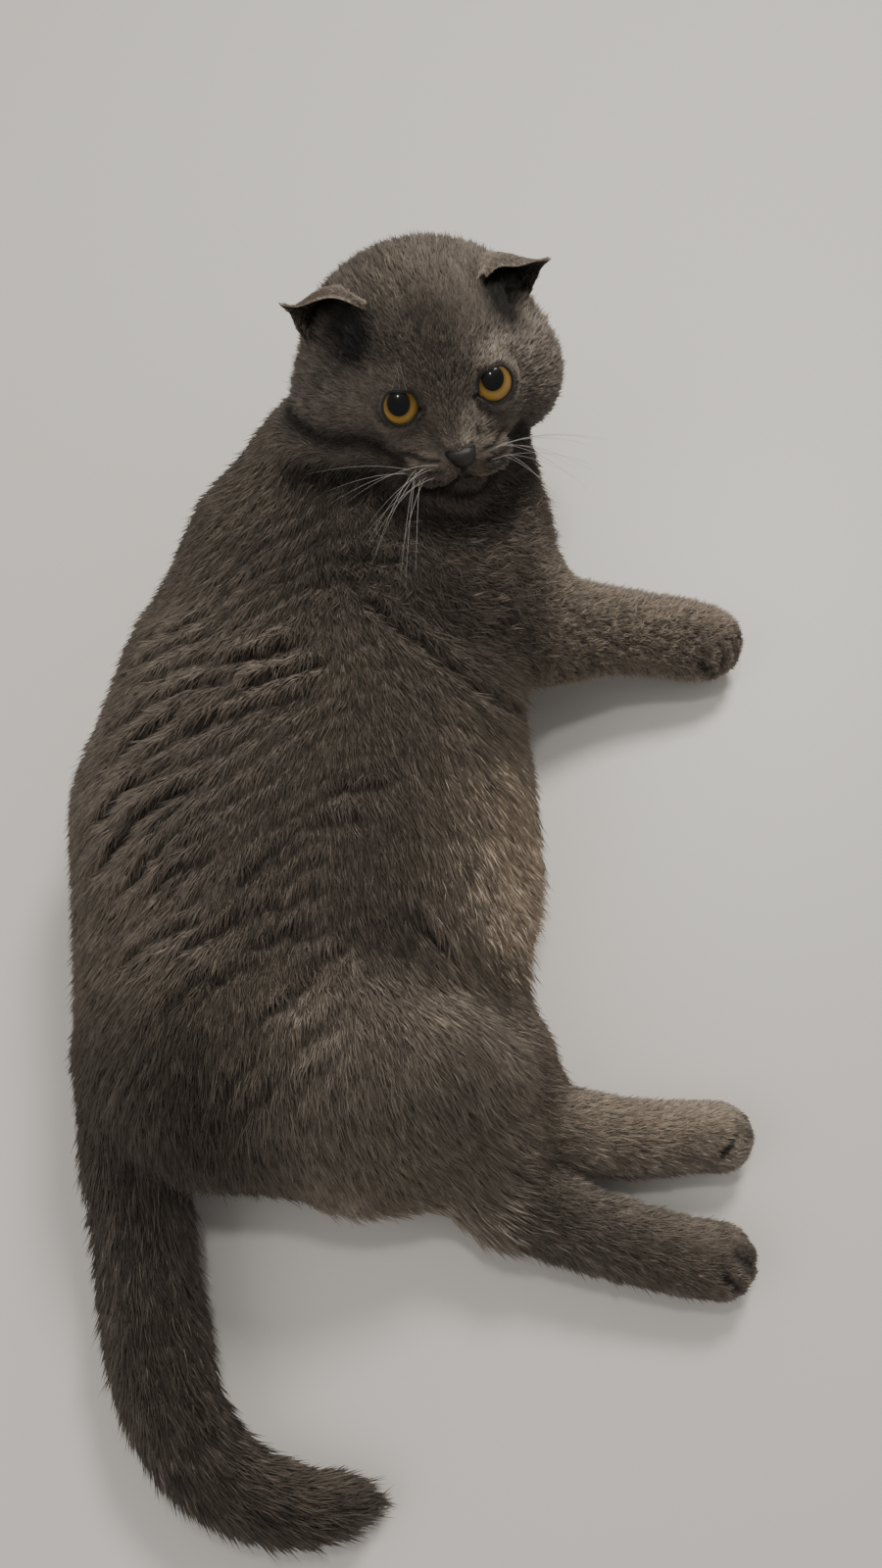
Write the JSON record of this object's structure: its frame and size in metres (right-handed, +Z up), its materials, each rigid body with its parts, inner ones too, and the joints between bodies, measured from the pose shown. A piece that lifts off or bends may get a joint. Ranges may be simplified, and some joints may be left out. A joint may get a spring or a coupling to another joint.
{
  "type": "scottish fold cat",
  "caption": "Still life-size scottish fold cat with a blue-grey plush coat, lying on its left side with its head raised and turned back.",
  "frame": {"origin": "middle of the bounding box at the floor under the flank", "axes": "+Z up from the floor, +Y towards the head end, +X towards the belly and the legs"},
  "size_m": [0.3578, 0.6272, 0.218],
  "materials": {
    "coat": "dense plush fur, slate grey with a slightly warm bloom on the flank and belly",
    "face_coat": "short dense fur, darker on the forehead and round the eyes",
    "tail_coat": "dense fur, darker than the flank",
    "ear_coat": "thin fur over a folded ear",
    "eye": "wet amber eye with a large black pupil",
    "nose_leather": "dark bare nose leather"
  },
  "bodies": {
    "root": {"abdomen": "coat", "chest": "coat", "ear_left": "ear_coat", "ear_right": "ear_coat", "eye_left": "eye", "eye_right": "eye", "forearm_right": "coat", "foreleg_left": "coat", "forepaw_left": "coat", "forepaw_right": "coat", "head": "face_coat", "hind_foot_left": "coat", "hind_foot_right": "coat", "hind_leg_left": "coat", "hind_leg_right": "coat", "neck": "coat", "nose": "nose_leather", "rump": "coat", "tail_base": "tail_coat", "tail_middle": "tail_coat", "tail_tip": "tail_coat", "thigh_right": "coat", "upper_arm_right": "coat"}
  },
  "joints": []
}
